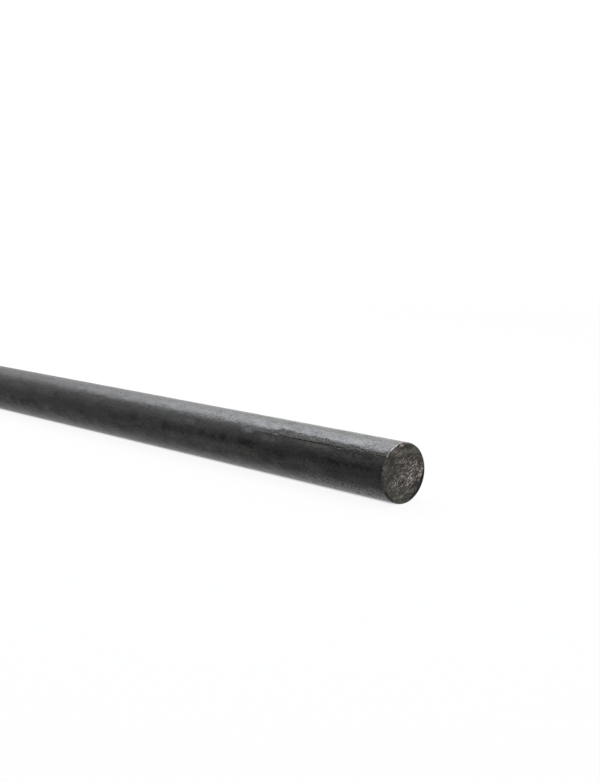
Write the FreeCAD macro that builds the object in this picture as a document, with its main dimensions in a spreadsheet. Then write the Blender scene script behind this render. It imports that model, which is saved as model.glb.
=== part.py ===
"""Round bar of hot-rolled mild steel, one piece of stock with two sawn ends.

The bar lies along X on the floor, and the origin is on its line of contact, halfway along it.
All sizes are in millimetres.
"""

import FreeCAD, Part
import os

import Sketcher

# Driving dimensions of the bar
DIMENSIONS = {
    "bar_diameter": 16.0,  # rolled size of the section
    "bar_length": 500.0,  # cut length, end face to end face
    "edge_land": 0.5,  # broken edge of a sawn end, measured across the end face
    "edge_drop": 0.3,  # the same edge, measured back along the bar
}
BAR_LABEL = "round_bar"
PARTS_FOLDER = "parts"


def make_sheet(doc):
    """The spreadsheet of driving dimensions, one row for each."""
    sheet = doc.addObject("Spreadsheet::Sheet", "Sizes")
    for row, (name, value) in enumerate(DIMENSIONS.items(), start=1):
        sheet.set(f"A{row}", name)
        sheet.set(f"B{row}", str(value))
        sheet.setAlias(f"B{row}", name)
    doc.recompute()
    return sheet


def plane_of(body, role):
    """One of the body's own origin planes."""
    return next(feature for feature in body.Origin.OriginFeatures if feature.Role == role)


def add_section(body):
    """The round section that the rolls leave, drawn square to the bar's axis."""
    section = body.newObject("Sketcher::SketchObject", "rolled_section")
    section.AttachmentSupport = [(plane_of(body, "YZ_Plane"), "")]
    section.MapMode = "FlatFace"
    centre = FreeCAD.Vector(0, 0, 0)
    normal = FreeCAD.Vector(0, 0, 1)
    circle = section.addGeometry(Part.Circle(centre, normal, DIMENSIONS["bar_diameter"] / 2))
    section.addConstraint(Sketcher.Constraint("Coincident", circle, 3, -1, 1))
    size = section.addConstraint(Sketcher.Constraint("Diameter", circle, DIMENSIONS["bar_diameter"]))
    section.setExpression(f"Constraints[{size}]", "Sizes.bar_diameter")
    return section


def add_stock(body, section):
    """The section run out to the cut length, half of it to each side of the middle."""
    stock = body.newObject("PartDesign::Pad", "stock")
    stock.Profile = section
    stock.Midplane = True
    stock.setExpression("Length", "Sizes.bar_length")
    return stock


def end_edges(shape):
    """The names of the two circles where the sawn faces meet the rolled surface."""
    return [
        f"Edge{number}"
        for number, edge in enumerate(shape.Edges, start=1)
        if isinstance(edge.Curve, Part.Circle)
    ]


def break_edges(body, stock):
    """The edges that the saw and handling leave: a low bevel, wider across the face than along the bar."""
    edges = end_edges(stock.Shape)
    broken = body.newObject("PartDesign::Chamfer", "broken_edges")
    broken.Base = (stock, edges)
    broken.ChamferType = "Two distances"
    broken.setExpression("Size", "Sizes.edge_drop")
    broken.setExpression("Size2", "Sizes.edge_land")
    return broken


def make_bar(doc):
    """The bar as one solid, resting on the plane Z = 0."""
    bar = doc.addObject("PartDesign::Body", "Bar")
    bar.Label = BAR_LABEL
    stock = add_stock(bar, add_section(bar))
    doc.recompute()
    bar.Tip = break_edges(bar, stock)
    bar.setExpression("Placement.Base.z", "Sizes.bar_diameter / 2")
    doc.recompute()
    return bar


def check(doc, bar):
    """Stops with a message if any feature failed or the bar isn't one sound solid."""
    failed = [item.Label for item in doc.Objects if {"Invalid", "Error"} & set(item.State)]
    if failed:
        raise RuntimeError(f"these features failed: {failed}")
    if bar.Shape.isNull() or not bar.Shape.isValid() or len(bar.Shape.Solids) != 1:
        raise RuntimeError("the bar isn't one valid solid")


def main():
    doc = FreeCAD.newDocument("RoundBar")
    make_sheet(doc)
    bar = make_bar(doc)
    check(doc, bar)
    os.makedirs(PARTS_FOLDER, exist_ok=True)
    bar.Shape.exportStep(os.path.join(PARTS_FOLDER, f"{bar.Label}.step"))
    box = bar.Shape.BoundBox
    print(f"{bar.Label}: {box.XLength:.2f} x {box.YLength:.2f} x {box.ZLength:.2f} mm")
    print(f"volume {bar.Shape.Volume:.1f} mm3, lowest point {box.ZMin:.4f} mm")


main()
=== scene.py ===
"""Round bar of hot-rolled mild steel, lying on a pale studio floor and seen past one of its sawn ends.

The bar lies along X. "Turn" is an angle round its axis: 0 faces the front, -Y, 90 is the top,
-90 is the line of contact and 180 is the back. Lengths are in metres unless a name says otherwise.
"""

import math
from types import SimpleNamespace

import bmesh
import bpy
from mathutils import Matrix, Vector


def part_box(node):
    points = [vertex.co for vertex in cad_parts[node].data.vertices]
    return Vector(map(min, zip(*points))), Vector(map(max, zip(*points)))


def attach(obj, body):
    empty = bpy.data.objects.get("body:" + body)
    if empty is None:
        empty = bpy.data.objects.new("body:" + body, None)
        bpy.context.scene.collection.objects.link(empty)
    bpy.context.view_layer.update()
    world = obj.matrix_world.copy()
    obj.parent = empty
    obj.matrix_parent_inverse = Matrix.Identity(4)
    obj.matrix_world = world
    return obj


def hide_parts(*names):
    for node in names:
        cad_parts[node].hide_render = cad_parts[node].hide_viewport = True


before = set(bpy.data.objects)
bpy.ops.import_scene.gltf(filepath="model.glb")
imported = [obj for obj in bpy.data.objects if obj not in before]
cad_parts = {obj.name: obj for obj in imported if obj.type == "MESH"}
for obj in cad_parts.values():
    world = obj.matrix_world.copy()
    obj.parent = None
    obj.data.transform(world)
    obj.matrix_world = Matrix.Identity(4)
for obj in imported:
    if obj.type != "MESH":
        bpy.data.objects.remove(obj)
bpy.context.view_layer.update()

# Sizes of the bar, read from the frame
LOW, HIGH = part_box("round_bar")
MM = 0.001
LENGTH = HIGH.x - LOW.x
RADIUS = (HIGH.y - LOW.y) / 2
AXIS_HEIGHT = (LOW.z + HIGH.z) / 2
FLOOR_HEIGHT = AXIS_HEIGHT - RADIUS
HALF = LENGTH / 2

# How finely the bar is cut into faces. The skin is cut into stretches, and those next to its
# ends are cut finer than the ones in the middle.
SIDES = 120
STRETCHES = 21
FINE_STRETCHES = 3
FINE_CUTS = 47
MIDDLE_CUTS = 24
END_SPAN = SIDES // 4
END_CUTS = 2
SMOOTH_UNDER = math.radians(35)
TINY = 0.01 * MM

# The broken edge round each sawn face
EDGE_ROUND = 0.45 * MM
EDGE_STEPS = 3
RIM_INSET = 0.3 * MM

# The rolling seam near the front end. From each step on, its middle moves in by that many depths,
# so that the groove opens, closes up and opens again. The stretch in which its painted shade is paler
# and the one with a painted highlight on its lip are each given by their two ends and how soft those are.
SEAM_TURN = 39.0
SEAM_START = 199 * MM
SEAM_STOP = 249.2 * MM
SEAM_WIDTH = 0.15 * MM
SEAM_DEPTH = 0.18 * MM
SEAM_STEPS = ((208 * MM, 1.0), (233 * MM, -1.0), (246 * MM, 1.0))
SEAM_FADE = 6 * MM
SEAM_PALER = (234 * MM, 241 * MM, 2 * MM)
LIP_ALONG = (216 * MM, 228 * MM, 7 * MM)

# The torn strip above the seam, which slopes in to it. Its top is at a known turn at one place,
# and falls by so many degrees in each metre from there.
STRIP_BEGIN = 206 * MM
STRIP_FULL = 218 * MM
STRIP_TOP_AT = 216 * MM
STRIP_TOP = 53.8
STRIP_FALL = 230.0
STRIP_RAGGED = 22.0
STRIP_SLOPE = 0.09 * MM
STRIP_SOFT = 2.0
STRIP_SOFT_END = 4 * MM

# The burr that the saw left on the upper front of the rim
BURR_FROM = 38.0
BURR_TO = 91.0
BURR_LIFT = 0.1 * MM
BURR_WIDTH = EDGE_ROUND * 0.25

# The blade's way across the front face, up from level
SAW_TURN = 28.0

# Scale still rings the sawn faces where the blade came in, below one turn and above another.
# Between the two, at the front, the sawn steel reaches further out.
RING_BELOW = -60
RING_ABOVE = 95
RING_WIDTH = EDGE_ROUND
FRONT_WIDTH = EDGE_ROUND * 0.06

# Stretches of the scale along the bar, in each of which one of its properties changes
ROUGHER = (150 * MM, 235 * MM)
GLOSSIER = (150 * MM, 215 * MM)
LESS_DUSTY = (160 * MM, 228 * MM)
PHOTOGRAPHED = (115 * MM, 130 * MM)

# Stretches round the bar: the turns at their two ends, and how soft those are
PHOTOGRAPHED_TURNS = (-80.0, 100.0, 20.0)
LOW_TURNS = (-150.0, -15.0, 25.0)
SMOOTH_TURNS = (5.0, 34.0, 4.0)
LAND_TURNS = (-48.0, 0.0, 10.0)
SHADED_TURNS = (-85.0, -35.0, 12.0)
WIDE_RING_TURNS = (-165.0, -115.0, 20.0)
BACK_TURNS = (-200.0, -95.0, 12.0)
SCALED_BURR_TURNS = (46.0, 52.0, 3.0)

# Places on the sawn faces, by how far they are from the axis
LAND_REACH = (7.1 * MM, 7.3 * MM)
SHADED_REACH = (7.35 * MM, 7.6 * MM)
RING_REACH = 7.5 * MM
RING_WIDENS = 0.85 * MM
RING_SOFT = 0.1 * MM

# How high the finest relief stands, which only the light sees, and how each surface bends light
SCALE_RELIEF = 0.1 * MM
SAWN_RELIEF = 0.08 * MM
SCALE_IOR = 1.5
SAWN_IOR = 1.35

# How far the mottling pulls the outlines of marks about, along the bar and round it
LOOSE_ALONG = 8 * MM
LOOSE_TURN = 24.0

# Dark marks in the scale, two of them painted shade under the seam: mm along the bar, turn, half their size
# both ways, and strength
DARK_MARKS_MM = (
    (130.6, 5, 1.8, 9, 0.5),
    (141.2, 13, 2.0, 9, 0.55),
    (158.3, 9, 2.6, 11, 0.65),
    (165.0, 6, 5.0, 9, 0.45),
    (176.5, 10, 2.1, 10, 0.6),
    (180.0, 5, 7.0, 11, 0.4),
    (181.7, 9, 1.6, 9, 0.55),
    (186.3, 10, 2.0, 13, 0.65),
    (181.6, -27, 4.0, 5, 0.45),
    (197.0, 10, 5.0, 10, 0.75),
    (204.6, 3, 3.5, 8, 0.55),
    (203.2, -20, 3.0, 4, 0.45),
    (210.5, 6, 7.5, 12, 0.5),
    (222.0, 16, 4.0, 7, 0.4),
    (224.5, 11, 4.0, 5, 0.5),
    (233.0, 11, 7.0, 6, 0.6),
    (242.5, 10, 6.0, 7, 0.6),
    # These two are painted shade under the seam near the front end
    (236.0, 35, 5.0, 5, 0.5),
    (243.0, 32, 6.0, 6, 0.6),
    (243.8, -3, 2.2, 5, 0.4),
    (173.6, 72, 3.0, 4, 0.3),
    (185.1, 68, 3.0, 4, 0.3),
    (244.0, 60, 3.0, 7, 0.55),
    (222.0, 66, 3.0, 5, 0.3),
    (208.7, 79, 4.0, 5, 0.35),
    (228.2, 85, 2.0, 4, 0.35),
    (237.3, 90, 2.0, 4, 0.35),
)

# Single marks: mm along the bar, turn, and half their size both ways
SMUDGE_MM = (210.5, 50, 3.2, 6.5)
OILY_MM = (248.9, -14, 0.75, 30)
WORN_EDGE_MM = (249.65, -22, 0.45, 20)
WORN_MM = (236, -42, 24, 14)

# Nicks in the scale near the floor: as above
NICKS_MM = (
    (222.1, -50, 0.9, 1.8),
    (238.5, -51, 0.8, 2.2),
    (243.2, -47, 0.9, 2.0),
)

# Polished places, where the scale shines more and is painted pale as a highlight: as above, and strength
POLISHED_HIGHLIGHT_MM = (
    (203.0, 53, 6.0, 3, 0.3),
    (223.0, 60, 9.0, 3, 0.25),
    (235.0, 57, 7.0, 4, 0.6),
    (247.0, 50, 2.5, 6, 0.4),
    (246.5, 80, 3.5, 8, 0.25),
)

# Stains on the scale: mm along the bar, turn, half their size both ways, strength and colour
STAINS_MM = (
    (161.9, 27, 2.0, 5, 0.5, (0.052, 0.052, 0.053)),
    (169.2, 30, 2.0, 5, 0.5, (0.052, 0.052, 0.053)),
    (196.3, 37, 2.4, 3, 0.6, (0.090, 0.098, 0.096)),
    (205.3, 28, 2.4, 4, 0.6, (0.072, 0.071, 0.076)),
    (198.0, -14, 5.0, 12, 0.5, (0.036, 0.038, 0.028)),
    (209.9, 4, 4.0, 8, 0.4, (0.009, 0.012, 0.010)),
    (212.7, -23, 4.0, 4, 0.5, (0.034, 0.037, 0.024)),
    (213.5, -13, 3.0, 3, 0.4, (0.052, 0.051, 0.050)),
    (215.0, 53, 2.6, 3, 0.5, (0.100, 0.100, 0.103)),
    (223.8, 33, 5.0, 3, 0.5, (0.048, 0.046, 0.030)),
    (236.5, 44, 2.5, 4, 0.7, (0.050, 0.050, 0.036)),
    (239.2, 27, 4.0, 4, 0.3, (0.046, 0.036, 0.036)),
    (244.2, 41, 3.0, 2, 0.7, (0.042, 0.043, 0.032)),
    (241.5, -15, 6.0, 7, 0.6, (0.046, 0.044, 0.042)),
    (149.0, -13, 14.0, 7, 0.75, (0.052, 0.049, 0.048)),
    (170.0, -9, 12.0, 8, 0.7, (0.050, 0.048, 0.047)),
    (187.0, -8, 10.0, 7, 0.6, (0.046, 0.044, 0.044)),
    (197.5, 85, 2.5, 4, 0.8, (0.045, 0.043, 0.034)),
    (179.0, 71, 4.0, 8, 0.4, (0.024, 0.024, 0.024)),
    (191.0, 77, 6.0, 6, 0.3, (0.024, 0.024, 0.024)),
    (202.0, 71, 6.0, 6, 0.4, (0.024, 0.024, 0.024)),
    (195.5, 50, 5.0, 4, 0.5, (0.024, 0.023, 0.024)),
    (222.0, 62, 7.0, 5, 0.3, (0.024, 0.024, 0.024)),
    (213.0, 68, 6.0, 5, 0.4, (0.024, 0.024, 0.024)),
    (208.7, 79, 2.0, 5, 0.9, (0.035, 0.036, 0.022)),
    (213.5, 79, 2.5, 3, 0.7, (0.080, 0.082, 0.058)),
    (228.2, 85, 2.5, 4, 0.9, (0.040, 0.034, 0.024)),
    (237.3, 89, 1.5, 3, 0.8, (0.040, 0.034, 0.028)),
    (173.6, 72, 3.0, 4, 0.6, (0.050, 0.050, 0.040)),
    (185.1, 68, 2.5, 4, 0.6, (0.050, 0.050, 0.040)),
)

# Marks on the sawn faces: mm across and up, half their size both ways, strength and colour
FACE_MARKS_MM = (
    (1.2, 6.8, 2.4, 0.7, 0.8, (0.024, 0.020, 0.016)),
    (-1.1, 7.4, 0.6, 0.3, 0.8, (0.420, 0.360, 0.330)),
    (-4.7, 4.5, 0.9, 1.0, 0.9, (0.030, 0.018, 0.013)),
    (-3.4, 3.6, 0.7, 0.5, 0.8, (0.120, 0.100, 0.092)),
    (-2.0, 5.1, 0.9, 0.4, 0.9, (0.120, 0.112, 0.085)),
    (-0.4, 5.5, 1.4, 0.9, 0.9, (0.130, 0.124, 0.092)),
    (2.4, 5.4, 1.2, 0.3, 0.8, (0.160, 0.145, 0.125)),
    (3.7, 6.0, 1.0, 0.7, 1.0, (0.115, 0.117, 0.102)),
    (-0.9, 2.3, 0.8, 0.4, 0.9, (0.014, 0.012, 0.010)),
    (-1.6, 4.2, 1.0, 0.5, 0.8, (0.020, 0.018, 0.014)),
    (1.6, 4.6, 1.0, 0.6, 0.8, (0.030, 0.020, 0.014)),
    (-6.3, 2.2, 0.5, 2.2, 0.8, (0.070, 0.064, 0.053)),
    (4.9, -3.6, 1.7, 0.7, 0.9, (0.018, 0.018, 0.011)),
    (1.9, -4.9, 1.4, 0.4, 0.9, (0.170, 0.160, 0.110)),
    (-1.4, -6.0, 0.8, 0.5, 0.9, (0.190, 0.190, 0.145)),
    (-3.6, -5.9, 0.6, 0.4, 0.9, (0.130, 0.135, 0.090)),
    (5.6, 2.3, 0.8, 1.3, 1.0, (0.045, 0.018, 0.011)),
)

# Where the saw's scratches are bright: as above, but softness and strength at the end
SCRATCHED_MM = (
    (3.8, 0.0, 3.8, 3.3, 0.4, 0.95),
    (-0.8, -2.0, 3.4, 2.4, 0.5, 0.9),
    (0.6, 4.6, 4.0, 2.4, 0.5, 0.5),
)

# Colours of the mill scale
BLACK = (0.005, 0.0048, 0.005)
SCALE_DARK = (0.005, 0.0042, 0.0046)
SCALE_LIGHT = (0.020, 0.0172, 0.0182)
DUST = (0.033, 0.0315, 0.032)
PURPLE = (0.024, 0.0190, 0.0215)
GREEN = (0.0175, 0.0205, 0.0185)
STREAK_GREY = (0.036, 0.035, 0.036)
BROWN = (0.034, 0.031, 0.027)
GRIT_GREY = (0.044, 0.042, 0.043)
# Dark colour of burnt scale, and of the painted shade under the seam
BURNT_AND_SHADED = (0.0125, 0.0108, 0.0115)
PALE = (0.058, 0.056, 0.055)
MURKY = (0.0080, 0.0070, 0.0075)
# Pale colour of the painted highlight on the polished places
POLISHED_HIGHLIGHT = (0.155, 0.153, 0.160)
# Painted highlight on the seam's lower lip
LIP_HIGHLIGHT_GREY = (0.05, 0.048, 0.049)
TORN_DARK = (0.015, 0.015, 0.013)
TORN_LIGHT = (0.11, 0.108, 0.10)
SMUDGE = (0.018, 0.0125, 0.0140)
OIL = (0.008, 0.0075, 0.005)
EDGE_GREY = (0.052, 0.050, 0.040)
WORN_STEEL = (0.20, 0.195, 0.19)

# Colours of the sawn faces and of the burr
SAWN_DARK = (0.018, 0.015, 0.012)
SAWN_LIGHT = (0.054, 0.047, 0.038)
SAWN_OLIVE = (0.048, 0.046, 0.030)
SCRATCH = (0.75, 0.68, 0.63)
PIT = (0.014, 0.012, 0.009)
LAND_DARK = (0.026, 0.027, 0.020)
LAND_LIGHT = (0.068, 0.066, 0.055)
RIM_SHADE = (0.018, 0.018, 0.012)
RING = (0.010, 0.010, 0.013)
BURR_SCALE = (0.04, 0.036, 0.032)
BURR_METAL = (0.24, 0.215, 0.20)

# The order of the finishes on the bar
SCALE, SAWN, BARE = range(3)

# The map for baked textures: the skin in rows, and the two sawn faces above them. What points
# along the bar by more than this share belongs to a sawn face.
MAP_POINTS_ALONG = 0.6
MAP_ROWS = 3
MAP_ROW_HEIGHT = 0.265
MAP_ROW_STEP = 0.275
MAP_FOOT = 0.005
MAP_MARGIN = 0.01
MAP_FACE_SIZE = 0.16
MAP_FRONT_FACE = Vector((0.02, 0.83))
MAP_FAR_FACE = Vector((0.22, 0.83))

# The photograph's lens and viewpoint
PHOTO_LENS = 53.8
SENSOR = 36.0
CAMERA_AZIMUTH = math.radians(47.31)
CAMERA_ELEVATION = math.radians(8.43)
CAMERA_PLACE = Vector((446.35, -217.35, 72.5)) * MM

# The softbox over the bar, whose radiance is what each bit of it sends out one way
SOFTBOX_SIZE = (1.25, 0.538)
SOFTBOX_PLACE = (-0.09, 0.106, 0.6)
SOFTBOX_TURN = math.radians(-11.5)
SOFTBOX_COLOUR = (0.918, 0.957, 1.0)
SOFTBOX_RADIANCE = 4.3

# The room's colour, and how bright the camera sees it where it looks past the floor
WHITE = (1, 1, 1)
WORLD_STRENGTH_SEEN = 1.05

# The floor. Its faint shadow fades between two distances from the middle of the bar, and the
# dark line of contact under the bar fades to each side and towards the bar's ends.
FLOOR_SIZE = 8
FLOOR_GREY = (0.5, 0.5, 0.5)
SHADOW_ENDS = (0.35, 0.7)
SHADOW_STRENGTH = 0.07
MIRRORED_WIDTH = 14 * MM
CONTACT_WIDTH = (0.8 * MM, 3.2 * MM)
CONTACT_STRENGTH = 0.55
CONTACT_FADE = 3 * MM


def deselect():
    bpy.ops.object.select_all(action="DESELECT")


def make_active(piece):
    deselect()
    piece.select_set(True)
    bpy.context.view_layer.objects.active = piece


def turn_of(place):
    """The turn of a point round the bar's axis, in degrees."""
    return math.degrees(math.atan2(place.z - AXIS_HEIGHT, -place.y))


def reach_of(place):
    """The distance of a point from the bar's axis."""
    return math.hypot(place.y, place.z - AXIS_HEIGHT)


def pick(piece, kind, wanted):
    """In edit mode, selects each vertex, edge or face whose vertices all pass the test."""
    bpy.ops.mesh.select_mode(type=kind)
    bpy.ops.mesh.select_all(action="DESELECT")
    mesh = bmesh.from_edit_mesh(piece.data)
    if kind == "VERT":
        for vertex in mesh.verts:
            vertex.select_set(wanted([vertex.co]))
    else:
        for item in mesh.edges if kind == "EDGE" else mesh.faces:
            item.select_set(wanted([vertex.co for vertex in item.verts]))
    mesh.select_flush_mode()
    bmesh.update_edit_mesh(piece.data)


def span_along(places):
    return max(place.x for place in places) - min(place.x for place in places)


# Shape of the bar


def rolled_stock():
    """A plain round length, as it comes off the mill and the saw."""
    deselect()
    bpy.ops.mesh.primitive_cylinder_add(
        vertices=SIDES,
        radius=RADIUS,
        depth=LENGTH,
        end_fill_type="NGON",
        location=(0, 0, AXIS_HEIGHT),
        rotation=(0, math.pi / 2, 0),
    )
    bar = bpy.context.object
    bar.name = "rolled_bar"
    bpy.ops.object.transform_apply(location=True, rotation=True, scale=True)
    return bar


def break_rims(bar):
    """Rounds the two rims, where the saw and handling took the sharp edge off."""
    pick(bar, "EDGE", lambda ends: span_along(ends) < TINY)
    bpy.ops.mesh.bevel(offset_type="OFFSET", offset=EDGE_ROUND, segments=EDGE_STEPS, affect="EDGES")


def cut_along(bar):
    """Rings of edges all along the skin, so that scale and seams can stand in it."""
    pick(bar, "EDGE", lambda ends: span_along(ends) > EDGE_ROUND)
    bpy.ops.mesh.subdivide(number_cuts=STRETCHES - 1)
    stretch = (LENGTH - 2 * EDGE_ROUND) / STRETCHES
    middle = HALF - EDGE_ROUND - FINE_STRETCHES * stretch + TINY
    pick(bar, "EDGE", lambda ends: span_along(ends) > stretch / 2 and any(abs(p.x) > middle for p in ends))
    bpy.ops.mesh.subdivide(number_cuts=FINE_CUTS)
    pick(bar, "EDGE", lambda ends: span_along(ends) > stretch / 2)
    bpy.ops.mesh.subdivide(number_cuts=MIDDLE_CUTS)


def grid_the_faces(bar):
    """Each sawn face gets a narrow border and a fine grid inside it."""
    for side in (-1, 1):
        pick(bar, "FACE", lambda corners: all(side * place.x > HALF - TINY for place in corners))
        bpy.ops.mesh.inset(thickness=RIM_INSET)
        bpy.ops.mesh.delete(type="ONLY_FACE")
        border = RADIUS - EDGE_ROUND - RIM_INSET + TINY
        pick(bar, "EDGE", lambda ends: all(side * p.x > HALF - TINY and reach_of(p) < border for p in ends))
        bpy.ops.mesh.fill_grid(span=END_SPAN)
        bpy.ops.mesh.subdivide(number_cuts=END_CUTS)


def on_seam(place):
    return abs(turn_of(place) - SEAM_TURN) < 0.2 and SEAM_START < place.x < SEAM_STOP


def press_seam(bar):
    """The rolling seam: its line is split into a narrow strip whose middle goes in."""
    pick(bar, "EDGE", lambda ends: all(on_seam(place) for place in ends))
    bpy.ops.mesh.bevel(offset_type="OFFSET", offset=SEAM_WIDTH, segments=2, affect="EDGES")
    inwards = Vector((0, math.cos(math.radians(SEAM_TURN)), -math.sin(math.radians(SEAM_TURN))))
    for start, share in SEAM_STEPS:
        pick(bar, "VERT", lambda places: on_seam(places[0]) and places[0].x > start)
        bpy.ops.transform.translate(value=inwards * SEAM_DEPTH * share)


def on_burr(place):
    """Whether a point is on the outermost step of the front rim, where the burr stands."""
    on_rim = place.x > HALF - EDGE_ROUND - TINY and reach_of(place) > RADIUS - BURR_WIDTH
    return on_rim and BURR_FROM < turn_of(place) < BURR_TO


def raise_burr(bar):
    """The lip that the blade pushed out where it left the cut."""
    pick(bar, "FACE", lambda corners: all(on_burr(place) for place in corners))
    bpy.ops.mesh.extrude_region_shrink_fatten(TRANSFORM_OT_shrink_fatten={"value": BURR_LIFT})
    bar.active_material_index = BARE
    bpy.ops.object.material_slot_assign()


def strip_top(along):
    """The turn at which the torn strip ends, at a place along the bar."""
    return STRIP_TOP - STRIP_FALL * (along - STRIP_TOP_AT)


def weigh(bar, name, share):
    """A vertex group whose weights come from a rule on the place of each vertex."""
    group = bar.vertex_groups.new(name=name)
    for vertex in bar.data.vertices:
        weight = share(vertex.co)
        if weight > 0:
            group.add([vertex.index], min(weight, 1.0), "REPLACE")
    return group.name


def skin_share(place):
    """1 on the rolled skin, falling to 0 in the last millimetre before each rim."""
    if reach_of(place) < RADIUS - EDGE_ROUND:
        return 0
    return (HALF - EDGE_ROUND - abs(place.x)) / MM


def face_share(place):
    """1 on the sawn faces, falling to 0 at their borders."""
    if abs(place.x) < HALF - TINY:
        return 0
    return (RADIUS - EDGE_ROUND - reach_of(place)) / RIM_INSET


def strip_share(place):
    """1 on the rough strip above the seam, falling to 0 at its edges."""
    if reach_of(place) < RADIUS - SEAM_DEPTH:
        return 0
    above_seam = turn_of(place) - SEAM_TURN - 0.5
    below_top = strip_top(place.x) + STRIP_SOFT - turn_of(place)
    lengthways = min(place.x - STRIP_BEGIN, SEAM_STOP - place.x)
    return min(min(above_seam, below_top) / STRIP_SOFT, lengthways / STRIP_SOFT_END)


def slope_share(place):
    """0 at the strip's top, rising to 1 at the seam."""
    if strip_share(place) <= 0:
        return 0
    top = strip_top(place.x) + STRIP_SOFT
    return (top - turn_of(place)) / (top - SEAM_TURN)


def relief(bar, name, grain, height, group, turn=0.0, contrast=1.0):
    """Moves one vertex group in and out by a cloud texture, and applies it.

    The grain is the size of the texture's features along X, Y and Z, turned about X.
    """
    texture = bpy.data.textures.new(name, "CLOUDS")
    texture.noise_scale = 1.0
    texture.contrast = contrast
    texture.noise_depth = 2
    guide = bpy.data.objects.new(name + "_guide", None)
    bpy.context.collection.objects.link(guide)
    guide.matrix_world = Matrix.Rotation(turn, 4, "X") @ Matrix.Diagonal((*grain, 1))
    bpy.context.view_layer.update()
    make_active(bar)
    move = bar.modifiers.new(name, "DISPLACE")
    move.texture = texture
    move.texture_coords = "OBJECT"
    move.texture_coords_object = guide
    move.strength = height
    move.mid_level = 0.5
    move.vertex_group = group
    bpy.ops.object.modifier_apply(modifier=move.name)
    bpy.data.objects.remove(guide)
    bpy.data.textures.remove(texture)


def press_in(bar, name, depth, group):
    """Moves one vertex group evenly inwards."""
    make_active(bar)
    move = bar.modifiers.new(name, "DISPLACE")
    move.strength = -depth
    move.mid_level = 0
    move.vertex_group = group
    bpy.ops.object.modifier_apply(modifier=move.name)


def roughen(bar):
    """Mill scale on the skin, a rough strip above the seam, and saw marks on the faces."""
    skin = weigh(bar, "skin", skin_share)
    strip = weigh(bar, "rough_strip", strip_share)
    faces = weigh(bar, "sawn_faces", face_share)
    relief(bar, "rolled_waves", (9 * MM, 3 * MM, 3 * MM), 0.02 * MM, skin)
    relief(bar, "scale_plates", (4 * MM, 1.6 * MM, 1.6 * MM), 0.03 * MM, skin, contrast=3)
    press_in(bar, "strip_slope", STRIP_SLOPE, weigh(bar, "strip_slope", slope_share))
    relief(bar, "torn_scale", (1.6 * MM, 0.9 * MM, 0.9 * MM), 0.12 * MM, strip, contrast=2)
    turn = math.radians(SAW_TURN)
    relief(bar, "saw_swathes", (1, 4 * MM, 1.2 * MM), 0.12 * MM, faces, turn)
    relief(bar, "saw_scratches", (1, 1.6 * MM, 0.35 * MM), 0.10 * MM, faces, turn, contrast=2)


def dress(bar):
    """Gives each face its finish: scale on the skin and rims, sawn steel inside the rims.

    The blade came in from the back, so there the scale reaches round the whole of the rim.
    """
    for face in bar.data.polygons:
        place = face.center
        ringed = turn_of(place) > RING_ABOVE or turn_of(place) < RING_BELOW
        width = RING_WIDTH if ringed else FRONT_WIDTH
        if abs(place.x) > HALF - EDGE_ROUND and reach_of(place) < RADIUS - width:
            face.material_index = SAWN


def map_sawn_face(bar, face, mapped):
    """Lays one small face of a sawn end into that end's square of the map."""
    start = MAP_FRONT_FACE if face.center.x > 0 else MAP_FAR_FACE
    for corner, index in zip(face.loop_indices, face.vertices):
        place = bar.data.vertices[index].co
        across = Vector((place.y, place.z - AXIS_HEIGHT)) / RADIUS
        mapped[corner].vector = start + (across + Vector((1, 1))) * MAP_FACE_SIZE / 2


def map_skin(bar, face, mapped):
    """Lays one small face of the skin into its row of the map, unrolled from the back."""
    middle = face.center
    row = min(int((middle.x + HALF) / LENGTH * MAP_ROWS), MAP_ROWS - 1)
    for corner, index in zip(face.loop_indices, face.vertices):
        place = bar.data.vertices[index].co
        along = (place.x + HALF) / LENGTH * MAP_ROWS - row
        turn = turn_of(place)
        turn += 360 * round((turn_of(middle) - turn) / 360)
        around = (turn + 180) / 360
        mapped[corner].vector = (
            MAP_MARGIN + (1 - 2 * MAP_MARGIN) * along,
            MAP_FOOT + row * MAP_ROW_STEP + around * MAP_ROW_HEIGHT,
        )


def lay_out_map(bar):
    """A map of the whole bar: the skin in rows, one above the other, and its two sawn ends."""
    mapped = bar.data.uv_layers.new(name="OFBake").uv
    for face in bar.data.polygons:
        if abs(face.normal.x) > MAP_POINTS_ALONG:
            map_sawn_face(bar, face, mapped)
        else:
            map_skin(bar, face, mapped)


def make_bar(materials):
    bar = rolled_stock()
    for material in materials:
        bar.data.materials.append(material)
    bpy.ops.object.mode_set(mode="EDIT")
    break_rims(bar)
    cut_along(bar)
    grid_the_faces(bar)
    press_seam(bar)
    raise_burr(bar)
    bpy.ops.object.mode_set(mode="OBJECT")
    dress(bar)
    roughen(bar)
    make_active(bar)
    bpy.ops.object.shade_smooth_by_angle(angle=SMOOTH_UNDER)
    lay_out_map(bar)
    return bar


# Materials


def new_material(name):
    """A material with nodes, its node tree, and the shader that it starts with."""
    material = bpy.data.materials.new(name)
    material.use_nodes = True
    tree = material.node_tree
    return material, tree, tree.nodes["Principled BSDF"]


def put(tree, socket, source):
    """Links another node's output into a socket, or sets the socket to a value."""
    if hasattr(source, "is_output"):
        tree.links.new(source, socket)
    else:
        socket.default_value = source


def add(tree, kind, sources=(), **settings):
    """A node with its settings, and with what is linked into its sockets or set on them."""
    node = tree.nodes.new(kind)
    for name, value in settings.items():
        setattr(node, name, value)
    for socket, source in dict(sources).items():
        put(tree, node.inputs[socket], source)
    return node


def math_node(tree, operation, *terms, clamp=False):
    """The result of one sum. Each term is a number or another node's output."""
    node = add(tree, "ShaderNodeMath", dict(enumerate(terms)), operation=operation, use_clamp=clamp)
    return node.outputs[0]


def product(tree, first, second):
    return math_node(tree, "MULTIPLY", first, second)


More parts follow.
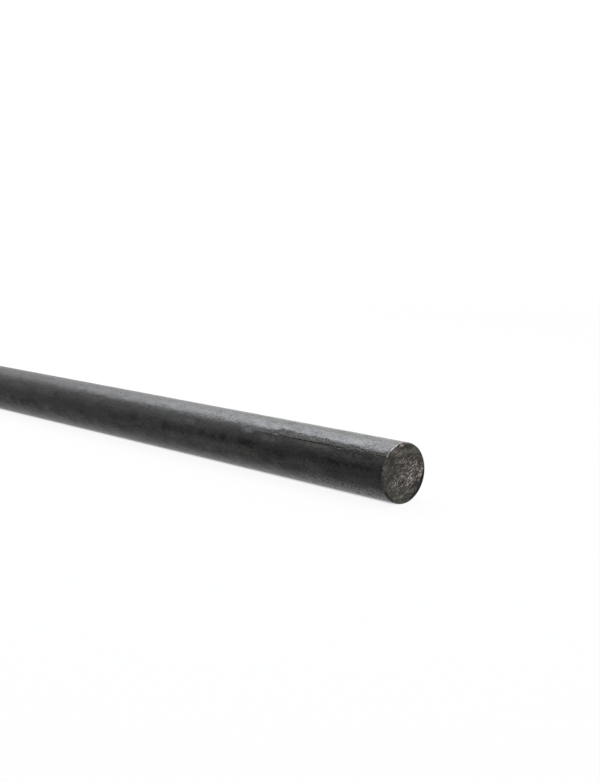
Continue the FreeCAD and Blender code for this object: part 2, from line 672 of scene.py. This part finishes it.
def larger(tree, first, second):
    return math_node(tree, "MAXIMUM", first, second)


def less(tree, value, taken):
    return math_node(tree, "SUBTRACT", value, taken)


def plus(tree, base, value, factor):
    """The base with the value times the factor added to it."""
    return math_node(tree, "MULTIPLY_ADD", value, factor, base)


def distance(tree, across, up):
    """How far a point is from the middle, from its two coordinates."""
    squares = math_node(tree, "ADD", product(tree, across, across), product(tree, up, up))
    return math_node(tree, "SQRT", squares)


def bar_coordinates(tree):
    """Where a point of the bar is: along it, across and up from its axis, and its turn in degrees."""
    place = add(tree, "ShaderNodeTexCoord").outputs["Object"]
    along, across, up = add(tree, "ShaderNodeSeparateXYZ", {0: place}).outputs
    height = less(tree, up, AXIS_HEIGHT)
    turn = math_node(tree, "ARCTAN2", height, product(tree, across, -1))
    turn = math_node(tree, "DEGREES", turn)
    return SimpleNamespace(place=place, along=along, across=across, height=height, turn=turn)


def noise(tree, place, grain, turn=0.0, detail=2.0, roughness=0.55, seed=0.0):
    """Noise whose features are about the grain's size along X, Y and Z, turned about X."""
    start = tuple(seed * size for size in grain)
    spot = add(
        tree,
        "ShaderNodeMapping",
        {"Vector": place, "Location": start, "Rotation": (turn, 0, 0), "Scale": grain},
        vector_type="TEXTURE",
    )
    sources = {"Vector": spot.outputs[0], "Scale": 1.0, "Detail": detail, "Roughness": roughness}
    return add(tree, "ShaderNodeTexNoise", sources).outputs["Fac"]


def between(tree, value, low, high, out_low=0.0, out_high=1.0):
    """A value's place between two others, smoothed and kept within them."""
    node = add(
        tree,
        "ShaderNodeMapRange",
        {"Value": value, "From Min": low, "From Max": high, "To Min": out_low, "To Max": out_high},
        interpolation_type="SMOOTHSTEP",
    )
    return node.outputs["Result"]


def window(tree, value, low, high, soft):
    """1 between two limits, falling to 0 over a soft edge outside each."""
    rise = between(tree, value, low - soft, low)
    fall = between(tree, value, high, high + soft, 1.0, 0.0)
    return product(tree, rise, fall)


def opaque(colour):
    """A colour of three numbers with its alpha added, or another node's output as it is."""
    return colour if hasattr(colour, "is_output") else (*colour, 1.0)


def blend(tree, share, first, second):
    """The second colour over the first, by a share from 0 to 1."""
    sources = {0: share, 6: opaque(first), 7: opaque(second)}
    return add(tree, "ShaderNodeMix", sources, data_type="RGBA").outputs[2]


def coats(tree, tone, layers):
    """A colour with others laid over it one by one, each by its own share."""
    for share, tint in layers:
        tone = blend(tree, share, tone, tint)
    return tone


def patch(tree, first, second, centre, size, soft):
    """1 inside an oval on two coordinates, falling to 0 over its soft outer share."""
    across = math_node(tree, "DIVIDE", less(tree, first, centre[0]), size[0])
    up = math_node(tree, "DIVIDE", less(tree, second, centre[1]), size[1])
    return between(tree, distance(tree, across, up), 1 - soft, 1 + soft, 1.0, 0.0)


def skin_oval(tree, spot, oval, soft=0.5):
    """A mark on the skin: mm along the bar, turn, and half its size both ways."""
    middle, turned, half_length, half_turn = oval
    centre, size = (middle * MM, turned), (half_length * MM, half_turn)
    return patch(tree, spot.along, spot.turn, centre, size, soft)


def face_oval(tree, spot, oval, soft):
    """A mark on a sawn face: mm across and up from its middle, and half its size both ways."""
    across, up, half_width, half_height = (size * MM for size in oval)
    return patch(tree, spot.across, spot.height, (across, up), (half_width, half_height), soft)


def raise_surface(tree, shader, heights, full_height):
    """Fine relief that only the light sees, from heights of which 1 is the full height."""
    node = add(tree, "ShaderNodeBump", {"Height": heights, "Strength": 1.0, "Distance": full_height})
    put(tree, shader.inputs["Normal"], node.outputs[0])


# Mill scale


def scale_noises(tree, place):
    """The noises of the scale, from coarse to fine. Each grain is in mm along the bar and round it."""

    def layer(along, around, **settings):
        return noise(tree, place, (along * MM, around * MM, around * MM), **settings)

    return SimpleNamespace(
        patches=layer(18, 7, seed=5),
        streaks=layer(14, 0.5, detail=4),
        hues=layer(10, 5, seed=31),
        spots=layer(6, 3, detail=3, seed=27),
        mottle=layer(4, 2, detail=4, seed=3),
        wander=layer(3, 1.2, detail=5, roughness=0.65, seed=12),
        dents=layer(1.7, 1.1, seed=15),
        grit=layer(0.7, 0.45, roughness=0.6, seed=9),
        specks=layer(0.45, 0.35, seed=21),
    )


def loosened(tree, spot, noises):
    """The same point moved by noise, so that marks measured from it get uneven outlines."""
    along = plus(tree, less(tree, spot.along, LOOSE_ALONG / 2), noises.mottle, LOOSE_ALONG)
    turn = plus(tree, less(tree, spot.turn, LOOSE_TURN / 2), noises.dents, LOOSE_TURN)
    return SimpleNamespace(along=along, turn=turn)


def torn_strip(tree, spot, noises):
    """The strip of torn scale with its ragged top, painted shade darkening its foot toward the seam, and a
    painted highlight along the crest at its top.
    """
    top = plus(tree, STRIP_TOP + STRIP_FALL * STRIP_TOP_AT, spot.along, -STRIP_FALL)
    top = plus(tree, top, less(tree, noises.wander, 0.5), STRIP_RAGGED)
    above = less(tree, spot.turn, top)
    begun = between(tree, spot.along, STRIP_BEGIN, STRIP_FULL)
    over_seam = between(tree, spot.turn, SEAM_TURN - 0.5, SEAM_TURN + 0.5)
    strip = product(tree, over_seam, between(tree, above, -0.4, 0.4, 1.0, 0.0))
    strip = product(tree, strip, begun)
    # Painted shade: the strip darkens toward the seam, where it slopes in
    painted_foot_shade = between(tree, spot.turn, SEAM_TURN + 1, SEAM_TURN + 10, 0.65, 0.0)
    # Painted highlight: a bright line along the strip's top
    crest_highlight = window(tree, above, 1.0, 3.0, 1.2)
    return strip, product(tree, strip, painted_foot_shade), product(tree, crest_highlight, begun)


def painted_seam_shade(tree, spot, noises):
    """Painted shade in the seam's groove: a dark line which wavers, fades in, and is paler where the groove
    is closed up.
    """
    wavering = plus(tree, less(tree, spot.turn, 0.8), noises.wander, 1.6)
    line = window(tree, wavering, SEAM_TURN - 0.9, SEAM_TURN + 0.4, 0.7)
    fade = between(tree, spot.along, SEAM_START - SEAM_FADE, SEAM_START + SEAM_FADE)
    paler = window(tree, spot.along, *SEAM_PALER)
    return product(tree, product(tree, line, fade), plus(tree, 1.0, paler, -0.3))


def seam_lip_highlight(tree, spot):
    """A painted highlight on the edge just under the seam, on the middle of its length."""
    lip_highlight = window(tree, spot.turn, SEAM_TURN - 4, SEAM_TURN - 1.5, 1.5)
    return product(tree, lip_highlight, window(tree, spot.along, *LIP_ALONG))


def burnt_and_shaded_places(tree, spot, loose, noises, rough_end):
    """Where the scale is darker and more like metal: in small spots all over, and in the marks, two of
    which are painted shade under the seam.

    Where the photo shows the bar, the marks stand for the larger spots. The rest has them as noise.
    """
    burnt_and_shaded = product(tree, between(tree, noises.grit, 0.5, 0.66, 0.0, 0.4), rough_end)
    seen_along = between(tree, spot.along, *PHOTOGRAPHED)
    seen = product(tree, seen_along, window(tree, spot.turn, *PHOTOGRAPHED_TURNS))
    spotted = between(tree, noises.spots, 0.54, 0.70, 0.0, 0.6)
    for share in (
        between(tree, noises.mottle, 0.46, 0.60, 0.0, 0.35),
        between(tree, noises.patches, 0.50, 0.64, 0.0, 0.3),
        between(tree, noises.streaks, 0.48, 0.66, 0.0, 0.3),
        product(tree, spotted, less(tree, 1.0, seen)),
    ):
        burnt_and_shaded = larger(tree, burnt_and_shaded, share)
    ragged = between(tree, noises.dents, 0.32, 0.55, 0.6, 1.0)
    for *oval, strength in DARK_MARKS_MM:
        mark = product(tree, skin_oval(tree, loose, oval, 0.85), strength)
        burnt_and_shaded = larger(tree, burnt_and_shaded, product(tree, mark, ragged))
    return burnt_and_shaded


def polished_highlight_places(tree, loose, noises, crest_highlight):
    """Polished scale with a painted highlight: in the places of the table, and as a bright line on the torn
    strip's crest.
    """
    polished_highlight = product(tree, crest_highlight, 0.35)
    for *oval, strength in POLISHED_HIGHLIGHT_MM:
        share = product(tree, skin_oval(tree, loose, oval, 0.9), strength)
        polished_highlight = larger(tree, polished_highlight, share)
    return product(tree, polished_highlight, between(tree, noises.streaks, 0.4, 0.6, 1.0, 0.4))


def nicked_places(tree, spot, noises):
    """The nicks near the floor, and small ones all over."""
    nicks = between(tree, noises.grit, 0.64, 0.72)
    for oval in NICKS_MM:
        nicks = larger(tree, nicks, skin_oval(tree, spot, oval, 0.3))
    return nicks


def scale_shares(tree, spot, noises):
    """How much a point of the skin has of each kind of mark."""
    loose = loosened(tree, spot, noises)
    straight = SimpleNamespace(along=spot.along, turn=loose.turn)
    rough_end = between(tree, spot.along, *ROUGHER, 0.3, 1.0)
    strip, painted_foot_shade, crest_highlight = torn_strip(tree, spot, noises)
    worn = skin_oval(tree, spot, WORN_MM)
    stains = []
    for *oval, strength, tint in STAINS_MM:
        stains.append((product(tree, skin_oval(tree, loose, oval, 0.8), strength), tint))
    return SimpleNamespace(
        rough_end=rough_end,
        strip=strip,
        painted_foot_shade=painted_foot_shade,
        lip_highlight=seam_lip_highlight(tree, spot),
        seam=painted_seam_shade(tree, spot, noises),
        burnt_and_shaded=burnt_and_shaded_places(tree, spot, loose, noises, rough_end),
        polished_highlight=polished_highlight_places(tree, loose, noises, crest_highlight),
        nicks=nicked_places(tree, spot, noises),
        smudge=skin_oval(tree, loose, SMUDGE_MM),
        oily=skin_oval(tree, straight, OILY_MM),
        worn_edge=skin_oval(tree, spot, WORN_EDGE_MM),
        worn=product(tree, worn, between(tree, noises.specks, 0.52, 0.64)),
        stains=stains,
    )


def scale_ground(tree, spot, noises, burnt_and_shaded):
    """The colour of the scale without its marks: nearly black, with dust, tints and streaks."""
    mottled = between(tree, noises.mottle, 0.36, 0.66)
    low = window(tree, spot.turn, *LOW_TURNS)
    pale = product(tree, low, between(tree, noises.spots, 0.38, 0.50, 0.5, 0.0))
    murky = product(tree, low, between(tree, noises.spots, 0.50, 0.60, 0.0, 0.5))
    layers = (
        (between(tree, spot.along, *LESS_DUSTY, 0.42, 0.0), DUST),
        (between(tree, noises.hues, 0.36, 0.50, 0.5, 0.0), PURPLE),
        (between(tree, noises.hues, 0.50, 0.64, 0.0, 0.5), GREEN),
        (between(tree, noises.streaks, 0.5, 0.75, 0.0, 0.5), STREAK_GREY),
        (between(tree, noises.patches, 0.50, 0.66, 0.0, 0.5), BROWN),
        (between(tree, noises.grit, 0.34, 0.48, 0.6, 0.0), GRIT_GREY),
        # burnt scale, and painted shade under the seam
        (burnt_and_shaded, BURNT_AND_SHADED),
        (pale, PALE),
        (murky, MURKY),
    )
    return coats(tree, blend(tree, mottled, SCALE_DARK, SCALE_LIGHT), layers)


def scale_tone(tree, noises, ground, shares):
    """The colour of the scale with its marks on it."""
    torn = blend(tree, between(tree, noises.grit, 0.4, 0.6), TORN_DARK, TORN_LIGHT)
    layers = (
        # painted highlight where the scale is polished
        (shares.polished_highlight, POLISHED_HIGHLIGHT),
        # painted highlight on the seam's lower lip
        (product(tree, shares.lip_highlight, 0.5), LIP_HIGHLIGHT_GREY),
        (product(tree, shares.strip, 0.75), torn),
        # painted shade at the foot of the torn strip
        (shares.painted_foot_shade, BLACK),
        (product(tree, shares.smudge, 0.9), SMUDGE),
        (product(tree, shares.oily, 0.8), OIL),
        (product(tree, shares.worn_edge, 0.9), EDGE_GREY),
        *shares.stains,
        (shares.nicks, BLACK),
        (shares.worn, WORN_STEEL),
        # painted shade in the seam's groove
        (shares.seam, BLACK),
    )
    return coats(tree, ground, layers)


def scale_roughness(tree, spot, noises, shares):
    """How dull the scale is: glossier towards the front end, duller on grit and on most marks."""
    stained = 0.0
    for share, _ in shares.stains:
        stained = larger(tree, stained, share)
    dull = plus(tree, between(tree, spot.along, *GLOSSIER, 0.2, 0.15), noises.mottle, 0.12)
    for share, duller in (
        (stained, 0.3),
        (noises.grit, 0.16),
        (shares.strip, 0.35),
        (shares.smudge, 0.25),
        (shares.worn_edge, 0.3),
        (shares.nicks, 0.4),
    ):
        dull = plus(tree, dull, share, duller)
    return math_node(tree, "MULTIPLY_ADD", shares.seam, 0.5, dull, clamp=True)


def scale_heights(tree, spot, noises, shares):
    """The fine relief of the scale: streaks, dents and grit, which is coarse on the torn strip."""
    below_top = between(tree, spot.turn, 50.0, 60.0, 1.0, 0.6)
    rougher = plus(tree, 1.0, window(tree, spot.turn, *SMOOTH_TURNS), -0.6)
    gritty = product(tree, product(tree, shares.rough_end, below_top), rougher)
    heights = plus(tree, product(tree, noises.grit, gritty), noises.streaks, 0.4)
    heights = plus(tree, heights, noises.dents, plus(tree, 0.4, shares.rough_end, 0.7))
    heights = plus(tree, heights, shares.strip, product(tree, noises.grit, 3.5))
    return plus(tree, heights, shares.nicks, -0.2)


def mill_scale():
    """Blue-black scale with streaks along the bar, and a rough strip above the seam."""
    material, tree, shader = new_material("mill scale")
    spot = bar_coordinates(tree)
    noises = scale_noises(tree, spot.place)
    shares = scale_shares(tree, spot, noises)
    ground = scale_ground(tree, spot, noises, shares.burnt_and_shaded)
    metal = larger(tree, shares.burnt_and_shaded, product(tree, shares.polished_highlight, 0.4))
    put(tree, shader.inputs["Base Color"], scale_tone(tree, noises, ground, shares))
    put(tree, shader.inputs["Metallic"], metal)
    put(tree, shader.inputs["Roughness"], scale_roughness(tree, spot, noises, shares))
    shader.inputs["IOR"].default_value = SCALE_IOR
    raise_surface(tree, shader, scale_heights(tree, spot, noises, shares), SCALE_RELIEF)
    return material


# Sawn steel


def sawn_noises(tree, place):
    """The noises of the sawn faces. Each grain is in mm across and up, turned as the blade went."""
    saw_turn = math.radians(SAW_TURN)

    def layer(across, up, turn=saw_turn, **settings):
        return noise(tree, place, (1, across * MM, up * MM), turn, **settings)

    return SimpleNamespace(
        swathes=layer(4, 1.6, seed=4),
        tints=layer(3, 2, seed=8),
        scratches=layer(1.3, 0.26, roughness=0.6),
        pits=layer(0.9, 0.4, seed=11),
        fine=layer(0.6, 0.22, saw_turn + 0.5, detail=1, seed=2),
        grain=noise(tree, place, (0.5 * MM, 0.4 * MM, 0.4 * MM), seed=7),
    )


def bright_scratches(tree, spot, noises):
    """Short bright lines across the cut, mostly in the places of the table."""
    lines = between(tree, noises.scratches, 0.42, 0.60)
    lines = product(tree, lines, between(tree, noises.swathes, 0.32, 0.55))
    lines = product(tree, lines, between(tree, noises.fine, 0.40, 0.56, 0.1, 1.0))
    scratched = plus(tree, -0.05, noises.tints, 0.5)
    for *oval, soft, strength in SCRATCHED_MM:
        share = product(tree, face_oval(tree, spot, oval, soft), strength)
        scratched = larger(tree, scratched, share)
    return product(tree, lines, scratched)


def back_of_rim(tree, turn):
    """1 round the part of the rim where the saw came in, and 0 at the front and top."""
    below = window(tree, turn, *BACK_TURNS)
    return larger(tree, below, between(tree, turn, 105.0, 130.0))


def rim_layers(tree, spot, grain):
    """The rolled-over edge at the front, its shaded part, and the scale that rings the back."""
    reach = distance(tree, spot.across, spot.height)
    land = between(tree, reach, *LAND_REACH)
    land = product(tree, land, window(tree, spot.turn, *LAND_TURNS))
    land_tone = blend(tree, between(tree, grain, 0.4, 0.6), LAND_DARK, LAND_LIGHT)
    shaded = between(tree, reach, *SHADED_REACH)
    shaded = product(tree, shaded, window(tree, spot.turn, *SHADED_TURNS))
    border = plus(tree, RING_REACH, window(tree, spot.turn, *WIDE_RING_TURNS), -RING_WIDENS)
    ring = between(tree, less(tree, reach, border), -RING_SOFT, RING_SOFT)
    ring = product(tree, ring, back_of_rim(tree, spot.turn))
    return (product(tree, land, 0.8), land_tone), (product(tree, shaded, 0.8), RIM_SHADE), (ring, RING)


def sawn_steel():
    """Brown-grey sawn face with short bright scratches across it and a little rust."""
    material, tree, shader = new_material("sawn steel")
    spot = bar_coordinates(tree)
    noises = sawn_noises(tree, spot.place)
    scratches = bright_scratches(tree, spot, noises)
    pits = between(tree, noises.pits, 0.54, 0.68)
    streaky = between(tree, noises.scratches, 0.40, 0.56, 0.25, 1.0)
    layers = [
        (between(tree, noises.tints, 0.52, 0.70, 0.0, 0.7), SAWN_OLIVE),
        (scratches, SCRATCH),
        (product(tree, pits, 0.7), PIT),
    ]
    for *oval, strength, tint in FACE_MARKS_MM:
        mark = product(tree, face_oval(tree, spot, oval, 0.7), strength)
        layers.append((product(tree, mark, streaky), tint))
    layers.extend(rim_layers(tree, spot, noises.grain))
    ground = blend(tree, between(tree, noises.grain, 0.3, 0.7), SAWN_DARK, SAWN_LIGHT)
    put(tree, shader.inputs["Base Color"], coats(tree, ground, layers))
    put(tree, shader.inputs["Metallic"], plus(tree, 0.1, scratches, 0.8))
    put(tree, shader.inputs["Roughness"], plus(tree, 0.38, noises.grain, 0.2))
    shader.inputs["IOR"].default_value = SAWN_IOR
    raise_surface(tree, shader, plus(tree, noises.scratches, noises.fine, 0.6), SAWN_RELIEF)
    return material


def bare_burr():
    """Fresh metal on the lip that the saw raised, broken up by dark scale."""
    material, tree, shader = new_material("bare burr")
    spot = bar_coordinates(tree)
    grain = noise(tree, spot.place, (0.8 * MM, 0.8 * MM, 0.8 * MM), detail=3)
    scaled = window(tree, spot.turn, *SCALED_BURR_TURNS)
    metal = product(tree, between(tree, grain, 0.36, 0.50), plus(tree, 1.0, scaled, -0.8))
    put(tree, shader.inputs["Base Color"], blend(tree, metal, BURR_SCALE, BURR_METAL))
    put(tree, shader.inputs["Metallic"], plus(tree, 0.2, metal, 0.7))
    put(tree, shader.inputs["Roughness"], plus(tree, 0.25, grain, 0.3))
    return material


# Studio


def seen_directly(tree):
    """1 for rays from the camera and for those that gloss and glass send on."""
    path = add(tree, "ShaderNodeLightPath").outputs
    seen = larger(tree, path["Is Camera Ray"], path["Is Glossy Ray"])
    return larger(tree, seen, path["Is Transmission Ray"])


def pale_floor():
    """A floor that shows white, with the bar's own faint shadow and a line of contact left in it.

    What the bar mirrors of the floor is darker in the shadow, and most so a little to each side.
    """
    material, tree, shader = new_material("pale floor")
    shader.inputs["Base Color"].default_value = opaque(FLOOR_GREY)
    shader.inputs["Roughness"].default_value = 0.9
    shader.inputs["Specular IOR Level"].default_value = 0.1
    place = add(tree, "ShaderNodeTexCoord").outputs["Object"]
    along, across, _ = add(tree, "ShaderNodeSeparateXYZ", {0: place}).outputs
    lengthways = math_node(tree, "ABSOLUTE", along)
    aside = math_node(tree, "ABSOLUTE", across)
    away = add(tree, "ShaderNodeVectorMath", {0: place}, operation="LENGTH").outputs["Value"]
    near = between(tree, away, *SHADOW_ENDS, 1.0, 0.0)

    shade = product(tree, near, between(tree, aside, 0, MIRRORED_WIDTH, 0.03, 0.67))
    shade = product(tree, shade, add(tree, "ShaderNodeLightPath").outputs["Is Glossy Ray"])
    white = add(tree, "ShaderNodeEmission", {"Strength": less(tree, 1.0, shade)})
    contact = between(tree, aside, *CONTACT_WIDTH, CONTACT_STRENGTH, 0.0)
    ends = between(tree, lengthways, HALF - CONTACT_FADE, HALF, 1.0, 0.0)
    shadow = plus(tree, product(tree, contact, ends), near, SHADOW_STRENGTH)
    share = product(tree, seen_directly(tree), less(tree, 1.0, shadow))
    mixed = add(tree, "ShaderNodeMixShader", {0: share, 1: shader.outputs[0], 2: white.outputs[0]})
    put(tree, tree.nodes["Material Output"].inputs["Surface"], mixed.outputs[0])
    return material


def lay_floor():
    deselect()
    bpy.ops.mesh.primitive_plane_add(size=FLOOR_SIZE, location=(0, 0, FLOOR_HEIGHT))
    floor = bpy.context.object
    floor.name = "floor"
    floor.data.materials.append(pale_floor())


def hang_softbox():
    """One long softbox over the bar, a little behind it."""
    light = bpy.data.lights.new("softbox", "AREA")
    light.shape = "RECTANGLE"
    light.size, light.size_y = SOFTBOX_SIZE
    light.color = SOFTBOX_COLOUR
    light.energy = SOFTBOX_RADIANCE * math.pi * light.size * light.size_y
    lamp = bpy.data.objects.new("softbox", light)
    lamp.location = SOFTBOX_PLACE
    lamp.rotation_euler = (0, 0, SOFTBOX_TURN)
    bpy.context.collection.objects.link(lamp)


def light_world():
    """A room that is brighter above and white behind the bar, and that the camera sees as white."""
    world = bpy.data.worlds.new("studio")
    bpy.context.scene.world = world
    world.use_nodes = True
    tree = world.node_tree
    background = tree.nodes["Background"]
    direction = add(tree, "ShaderNodeTexCoord").outputs["Generated"]
    along, across, up = add(tree, "ShaderNodeSeparateXYZ", {0: direction}).outputs
    overhead = between(tree, up, 0.0, 0.6, 0.18, 0.65)
    behind = between(tree, across, 0.25, 0.8, 0.0, 1.15)
    far_end = between(tree, along, -0.95, -0.65, 0.10, 0.0)
    room = math_node(tree, "ADD", math_node(tree, "ADD", overhead, behind), far_end)
    seen = add(tree, "ShaderNodeLightPath").outputs["Is Camera Ray"]
    sources = {0: seen, 2: room, 3: WORLD_STRENGTH_SEEN}
    strength = add(tree, "ShaderNodeMix", sources, data_type="FLOAT")
    put(tree, background.inputs["Strength"], strength.outputs[0])
    background.inputs["Color"].default_value = opaque(WHITE)


def place_camera():
    """The photograph's viewpoint, just beyond the front end and a little above the bar."""
    data = bpy.data.cameras.new("camera")
    data.lens = PHOTO_LENS
    data.sensor_width = SENSOR
    data.clip_start = 0.01
    camera = bpy.data.objects.new("camera", data)
    camera.location = CAMERA_PLACE
    camera.rotation_euler = (math.pi / 2 - CAMERA_ELEVATION, 0, CAMERA_AZIMUTH)
    bpy.context.collection.objects.link(camera)
    bpy.context.scene.camera = camera


bpy.context.scene.view_settings.view_transform = "Standard"
place_camera()
lay_floor()
hang_softbox()
light_world()

bar = make_bar([mill_scale(), sawn_steel(), bare_burr()])
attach(bar, "root")
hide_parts("round_bar")
